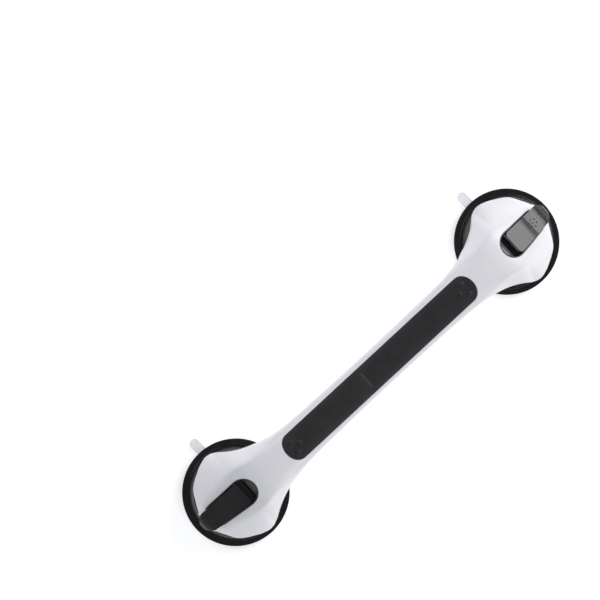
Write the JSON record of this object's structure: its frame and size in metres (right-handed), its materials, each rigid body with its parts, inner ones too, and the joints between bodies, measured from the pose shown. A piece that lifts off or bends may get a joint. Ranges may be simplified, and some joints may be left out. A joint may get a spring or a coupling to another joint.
{
  "type": "suction grab bar",
  "caption": "Oval-section grab bar with an inlaid soft grip, flared end covers on round suction bases, flip levers that lock each cup to a smooth wall, and release tabs.",
  "frame": {"origin": "on the wall plane, under the middle of the bar: halfway between the two cup axes", "axes": "+Z out of the wall, X along the bar with the cups at x = -0.1675 and +0.1675 m, +Y across the bar towards the release tabs"},
  "size_m": [0.4316, 0.1101, 0.072],
  "materials": {
    "white_shell": "white satin-gloss ABS",
    "grip_rubber": "matt charcoal soft-touch rubber",
    "black_base": "black satin ABS",
    "black_lever": "glossy black ABS",
    "clear_tpu": "translucent soft polymer, faint blue tint",
    "steel": "bright zinc-plated steel",
    "nylon": "natural nylon"
  },
  "bodies": {
    "root": {"handle_shell": "white_shell", "handle_back": "white_shell", "grip_pad": "grip_rubber", "back_screw_1": "steel", "back_screw_2": "steel", "back_screw_3": "steel", "back_screw_4": "steel", "left_base_dish": "black_base", "left_lever_well": "black_base", "left_bearing_plate": "steel", "left_suction_cup": "clear_tpu", "left_return_spring": "steel", "left_dish_screw_1": "steel", "left_dish_screw_2": "steel", "left_dish_screw_3": "steel", "left_dish_screw_4": "steel", "right_base_dish": "black_base", "right_lever_well": "black_base", "right_bearing_plate": "steel", "right_suction_cup": "clear_tpu", "right_return_spring": "steel", "right_dish_screw_1": "steel", "right_dish_screw_2": "steel", "right_dish_screw_3": "steel", "right_dish_screw_4": "steel"},
    "left_stem": {"left_pull_stem": "steel", "left_cup_core": "nylon", "left_lever_pin": "steel"},
    "left_lever": {"left_lever": "black_lever"},
    "right_stem": {"right_pull_stem": "steel", "right_cup_core": "nylon", "right_lever_pin": "steel"},
    "right_lever": {"right_lever": "black_lever"}
  },
  "joints": [
    {"name": "left_stem_slide", "type": "slide", "parent": "root", "child": "left_stem", "axis": [0, 0, 1], "range_m": [-0.004, 0], "deforming": ["left_suction_cup", "left_return_spring"]},
    {"name": "left_lever_flip", "type": "hinge", "parent": "left_stem", "child": "left_lever", "pos_m": [-0.1675, 0, 0.0545], "axis": [0, 1, 0], "range_deg": [0, 90]},
    {"name": "right_stem_slide", "type": "slide", "parent": "root", "child": "right_stem", "axis": [0, 0, 1], "range_m": [-0.004, 0], "deforming": ["right_suction_cup", "right_return_spring"]},
    {"name": "right_lever_flip", "type": "hinge", "parent": "right_stem", "child": "right_lever", "pos_m": [0.1675, 0, 0.0545], "axis": [0, -1, 0], "range_deg": [0, 90]}
  ],
  "couplings": [
    {"joint": "left_stem_slide", "follows": "left_lever_flip", "m_per_rad": -0.0025465},
    {"joint": "right_stem_slide", "follows": "right_lever_flip", "m_per_rad": -0.0025465}
  ]
}
